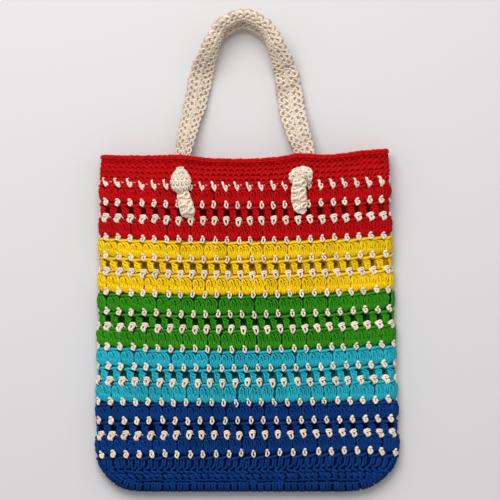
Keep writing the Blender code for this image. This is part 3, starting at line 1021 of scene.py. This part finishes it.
def strap_run(side):
    """The strap of one handle: the front one (1) lies on the back one (-1) all the way."""
    stations = curve_through(STRAP_STATIONS, STRAP_STEPS)
    x, rise, width, tilt = stations.T
    crown = ease((rise - CROWN_START) / CROWN_BLEND)
    width = width * (1 + (CROWN_WIDTH - 1) * crown)
    lying_tilt = np.radians(tilt)
    tilt = tilt + CROWN_TILT[side] * crown
    step = unit(np.gradient(np.stack([x, rise], axis=1), axis=0))
    outward = np.stack([-step[:, 1], step[:, 0], np.zeros(len(x))], axis=1)
    up = np.array([0, 0, 1.0])
    tilt = np.radians(tilt)
    cosine, sine = np.cos(tilt)[:, None], np.sin(tilt)[:, None]
    half_gap = CLEARANCE / 2
    lying = (half_gap + STRAP_THICKNESS) * np.cos(lying_tilt) + width / 2 * np.sin(lying_tilt)
    z = MOUTH_MIDDLE + (lying - MOUTH_MIDDLE) * ease((rise - MOUTH_REACH) / STRAP_FALL)
    z += CROWN_LIFT[side] * crown
    normal = up * cosine - outward * sine
    middle = np.stack([x, RIM_Y + rise - CROWN_DROP[side] * crown, z], axis=1)
    middle += normal * side * (half_gap + STRAP_THICKNESS / 2)
    thickness = np.full(len(x), STRAP_THICKNESS)
    arch = STRAP_ARCH + CROWN_ARCH * crown
    return Run(middle, outward * cosine + up * sine, normal, width, thickness, arch)


def wall_level(side, height):
    """The level of the front (1) or back (-1) wall's outside at a height up the bag."""
    return lift(height) + (full_thickness(height) if side > 0 else 0)


def knot_run(side, stations):
    """A knot's run along the outside of the wall, through its stations."""
    x, drop, width, thickness, rise = curve_through(stations, KNOT_STEPS).T * MM
    if side < 0:
        room = KNOT_LIFT - CLEARANCE
        thickness = thickness * min(1, room / thickness.max())
        rise = np.zeros(len(rise))
    z = wall_level(side, BAG_HEIGHT - drop) + side * (CLEARANCE + thickness / 2 + rise)
    middle = np.stack([x, RIM_Y - drop, z], axis=1)
    step = unit(np.gradient(middle, axis=0))
    normal = unit(np.array([[0, 0, side]]) - step * (step[:, 2:] * side))
    return Run(middle, np.cross(step, normal), normal, width, thickness)


def strap_strands(pitch):
    """A length of the strap, one stitch long: two bands side by side, each with two staggered rows
    of loops round open holes and bumps between them, and the ridge at which they meet."""
    outer_loop = [
        (5.4, 2.8, -0.2, 0.9), (7.3, 3.7, 0.6, 1.1), (9.8, 3.2, 0.5, 1.15), (11.3, 0.8, 0.4, 1.15),
        (10.6, -1.9, 0.5, 1.15), (8.4, -3.1, 0.6, 1.1), (6.3, -2.2, -0.1, 0.9),
    ]
    inner_loop = [
        (5.3, -2.4, 0.1, 0.9), (3.4, -2.6, 0.8, 1.15), (1.7, -0.8, 0.7, 1.1), (1.4, 1.6, 0.5, 1.05),
        (2.8, 3.6, 0.8, 1.15), (5.2, 3.9, 0.4, 0.95),
    ]
    bump = [(5.2, -1.4, 0.2, 1), (6.2, 0, 1.2, 1.35), (6.6, 1.9, 0.3, 1.1)]
    ridge = [(0.3, -pitch / 2, 0.6), (0.8, -0.6, 1.1, 1.1), (0.1, pitch / 2, 0.6)]
    bands = [(1.3, outer_loop), (1.3, moved(inner_loop, 0, pitch / 2)), (1.2, bump)]
    fill = [(-2.2, -2.6, 0.3, 1.1), (-0.9, -1, 0.4), (-1, 1.4, 0.2)]
    inner_band = each(each(bands, mirrored), moved, -0.5, pitch / 2)
    return bands + inner_band + [(1.1, ridge), (1, fill)]


def tail_strands(pitch):
    """A length of a knot's tail, one stitch long: a plump ridge across it, a ring round an open
    hole near its right side, and a border at each side."""
    ridge = [(7.4, 2, 0.1, 1), (5.2, 0.6, 0.9, 1.3), (2.6, 0.2, 1, 1.3), (0.2, -1.2, 0.3)]
    beside = [(6.6, -2.2, -0.1, 0.9), (4.4, -3.4, 0.6, 1.15), (2, -3.4, 0.5, 1.05)]
    ring = [
        (-0.2, 2.2, 0.1, 1), (-0.8, -1, 0.9, 1.15), (-2.4, -3.2, 1, 1.2),
        (-5.2, -3.3, 0.7, 1.15), (-7, -1, 0.4, 1.1), (-6.4, 1.7, 0.6, 1.15),
        (-4, 3.2, 0.9, 1.25), (-1.4, 2.8, 0.4, 1),
    ]
    strands = [(1.3, ridge), (1.25, beside), (1.25, ring)]
    for side in (-1, 1):
        start, end = (side * 7.4, -pitch / 2, -0.1), (side * 7.4, pitch / 2, -0.1)
        strands.append((1.15, [start, (side * 7.9, 0, 0.2, 1.1), end]))
    return strands


def lay_along(strands, name, run, pitch, seed, face=1, rounded=False, span=STRAP_SPAN, depth=1, tone_and_painted_light=0):
    """Copies a stitch along a strap's run, in millimetres across a strap of width span."""
    rng = np.random.default_rng(seed)
    count = int(round(run.reach[-1] / pitch))
    stitch, copy, flat = copy_stitch(name, strands, count)
    mesh = stitch.data
    shift = rng.normal(0, 1, (count, 3)) * STRAP_SCATTER
    tones = tone_and_painted_light + rng.normal(0, 1, count)
    sideways, forward = wobbled(flat, rng.uniform(0, 2 * math.pi, (count, 2))[copy])
    along = copy * run.reach[-1] / count + forward + shift[copy, 1]
    share = (sideways + shift[copy, 0]) / (span * MM)
    if rounded:
        points = run.round_places(along, share * ROUND_SHARE, flat[:, 2] - FABRIC_DEPTH)
    else:
        out = face * (STRAP_THICKNESS / 2 - FABRIC_DEPTH + flat[:, 2])
        points = run.flat_places(along, share, out)
        if face > 0:
            mesh.flip_normals()
    # painted shade between the strands, scaled by depth; tone darkens straps as painted shade and
    # brightens tails as painted light
    set_stitches(mesh, points, tones[copy], painted_shade_at_depth(flat) * depth)
    return stitch


def lay_lumps(run, name, width, height, seed):
    """Covers a knot's rounded run with short stitches that turn this way and that."""
    rng = np.random.default_rng(seed)
    pieces = []
    rows = max(int(round(run.reach[-1] / (height * MM))) - 1, 1)
    for row in range(rows):
        along = run.reach[-1] * (row + KNOT_START) / rows
        run_width = np.interp(along, run.reach, run.width)
        count = max(int(round(run_width * KNOT_ROUND / (width * MM))), 1)
        for place in range(count):
            share = ((place + 0.5 + KNOT_STAGGER * (row % 2)) / count - 0.5) * KNOT_SPREAD
            piece = make_stitch(name, single_strands(width, height))
            flat = points_of(piece.data) - (0, height * MM / 2, 0)
            turn = rng.normal(0, KNOT_TURN)
            x = flat[:, 0] * math.cos(turn) - flat[:, 1] * math.sin(turn)
            y = flat[:, 0] * math.sin(turn) + flat[:, 1] * math.cos(turn)
            share = share + x / (math.pi / 2 * run_width)
            points = run.round_places(along + y, share, flat[:, 2] - FABRIC_DEPTH)
            tone_and_painted_light = np.full(len(flat), rng.normal(0, 1))
            # painted shade between the strands, less on the knots
            set_stitches(piece.data, points, tone_and_painted_light, painted_shade_at_depth(flat) * KNOT_SHADE)
            pieces.append(piece)
    return pieces


def lay_strap_core(run, rounded, depth):
    """The body under the stitches of a run: a flat band, or a closed oval form, darkened with painted
    shade as much as depth says.
    """
    around = 16 if rounded else 4
    bpy.ops.mesh.primitive_grid_add(x_subdivisions=around, y_subdivisions=STRAP_CORE_STEPS, size=1)
    core = bpy.context.object
    points = points_of(core.data)
    along = (points[:, 1] + 0.5) * run.reach[-1]
    if rounded:
        set_points(core.data, run.round_places(along, points[:, 0] * 2, -KNOT_CORE_DEPTH))
        set_mode("EDIT")
        clean_core(STRAP_CORE_MERGE, fill=True)
        # a form whose faces all face inward is turned inside out
        form = bmesh.new()
        form.from_mesh(core.data)
        if form.calc_volume(signed=True) < 0:
            core.data.flip_normals()
        form.free()
    else:
        share = points[:, 0] * STRAP_CORE_WIDTH
        set_points(core.data, run.flat_places(along, share, 0))
        apply_modifier(core, "SOLIDIFY", thickness=STRAP_THICKNESS * 0.5, offset=0)
    # painted shade over the whole body, which is seen only in the shade between the stitches
    set_value(core.data, "painted_shade", np.full(len(core.data.vertices), depth))
    return core


KNOT_RUNS = {
    # x, drop below the middle of the rim, width, thickness and rise off the wall, in millimetres
    "left_body": (
        (-74.8, 9.6, 6, 5, 0), (-74.8, 12.6, 10.5, 8, 0), (-74.5, 17.6, 18, 11, 0),
        (-74.3, 23.6, 22.2, 12.5, 0), (-74.2, 28.8, 21.6, 12.5, 0), (-73.6, 33.4, 17.5, 10.5, 0),
        (-73.2, 36.5, 10, 6, 0),
    ),
    "left_tail": (
        (-72, 33, 10, 5, 1), (-71.4, 38, 14.6, 6.5, 0.6), (-70.3, 45, 16.8, 7, 0),
        (-68.6, 51.5, 17.9, 7, 0), (-66.4, 58.6, 17.6, 6.5, 0), (-65, 62.6, 16, 5, 0),
        (-64.5, 64.8, 12, 3, 0),
    ),
    "right_body": (
        (50.2, 26, 5, 4.5, 0), (49.6, 20.6, 8.5, 8, 0), (52.2, 16.6, 10.5, 9.5, 0),
        (57.5, 15.4, 12.5, 10.5, 0), (62.8, 14.9, 13.5, 11, 0), (66.8, 17.4, 11.5, 10, 0),
        (68, 21.8, 8.5, 8, 0), (67.8, 25, 5.5, 5, 0), (67.4, 27.6, 2.6, 3, 0),
    ),
    "right_tail": (
        (58.6, 17.6, 8, 4, 5), (57.6, 20.5, 14.5, 8, 4.5), (57.1, 27, 17, 8.5, 3),
        (56.9, 40, 18.4, 8, 0.4), (57.4, 48, 19, 7, 0), (59, 53.6, 17.5, 6, 0),
        (61.8, 57.4, 13.5, 5, 0), (64, 59.4, 9, 4, 0),
    ),
}


def make_handle(name, side, node):
    """A strap with a knot and a tail at each end, at the front (1) or back (-1) wall."""
    strap = strap_run(side)
    # painted shade: the strap's body is fully darkened
    pieces = [lay_strap_core(strap, False, 1.0)]
    for face in (1, -1):
        seed = STRAP_SEED + face + side * 20
        drawn = strap_strands(STRAP_PITCH / MM)
        laid = lay_along(drawn, "strap_stitches", strap, STRAP_PITCH, seed, face, tone_and_painted_light=STRAP_PAINTED_SHADE)
        pieces.append(laid)
    for number, (part, stations) in enumerate(KNOT_RUNS.items()):
        run = knot_run(side, stations)
        # painted shade: the knots' and tails' bodies are darkened a little
        pieces.append(lay_strap_core(run, True, TAIL_SHADE))
        seed = KNOT_SEED + number + side * 20
        if part.endswith("body"):
            pieces += lay_lumps(run, "knot_stitches", *KNOT_STITCH, seed)
        else:
            drawn = tail_strands(TAIL_PITCH / MM)
            laid = lay_along(
                drawn, "tail_stitches", run, TAIL_PITCH, seed,
                rounded=True, span=TAIL_SPAN, depth=TAIL_SHADE, tone_and_painted_light=TAIL_PAINTED_LIGHT,
            )
            pieces.append(laid)
    handle = join(pieces, name)
    finish_piece(handle, "cream", node)


def make_studio():
    """A pale floor, a soft lamp, a room that is brighter towards the bag's top, and the camera."""
    bpy.ops.mesh.primitive_plane_add(size=FLOOR_SIZE)
    floor = bpy.context.object
    floor.name = "floor"
    material = bpy.data.materials.new("pale_floor")
    material.use_nodes = True
    shader = material.node_tree.nodes["Principled BSDF"]
    shader.inputs["Base Color"].default_value = (*[channel_value(c) for c in FLOOR_COLOUR], 1)
    shader.inputs["Roughness"].default_value = FLOOR_ROUGHNESS
    floor.data.materials.append(material)

    bpy.ops.object.light_add(type="AREA", location=LAMP_PLACE)
    lamp = bpy.context.object
    lamp.data.shape = "DISK"
    lamp.data.size = LAMP_SIZE
    lamp.data.energy = LAMP_POWER
    lamp.rotation_euler = (-Vector(LAMP_PLACE)).to_track_quat("-Z", "Y").to_euler()

    world = bpy.data.worlds.new("studio")
    bpy.context.scene.world = world
    world.use_nodes = True
    tree = world.node_tree
    background = tree.nodes["Background"]
    background.inputs["Color"].default_value = (1, 1, 1, 1)
    direction = add_node(tree, "TexCoord")
    parts = add_node(tree, "SeparateXYZ")
    tree.links.new(direction.outputs["Generated"], parts.inputs[0])
    strength = multiply_add(tree, parts.outputs["Y"], ROOM_SLOPE)
    strength.inputs[2].default_value = ROOM_LIGHT
    tree.links.new(strength.outputs[0], background.inputs["Strength"])

    bpy.ops.object.camera_add(location=CAMERA_PLACE)
    camera = bpy.context.object
    camera.data.angle = 2 * math.atan(HALF_VIEW / CAMERA_PLACE[2])
    bpy.context.scene.camera = camera
    bpy.context.scene.view_settings.view_transform = "Standard"


YARNS = {name: make_yarn(f"{name}_yarn_strands", rest[:3], rest[3]) for name, rest in COLOURS.items()}
make_cream_rounds(make_bands())
make_handle("front_strap", 1, "front_handle")
make_handle("back_strap", -1, "back_handle")
make_studio()
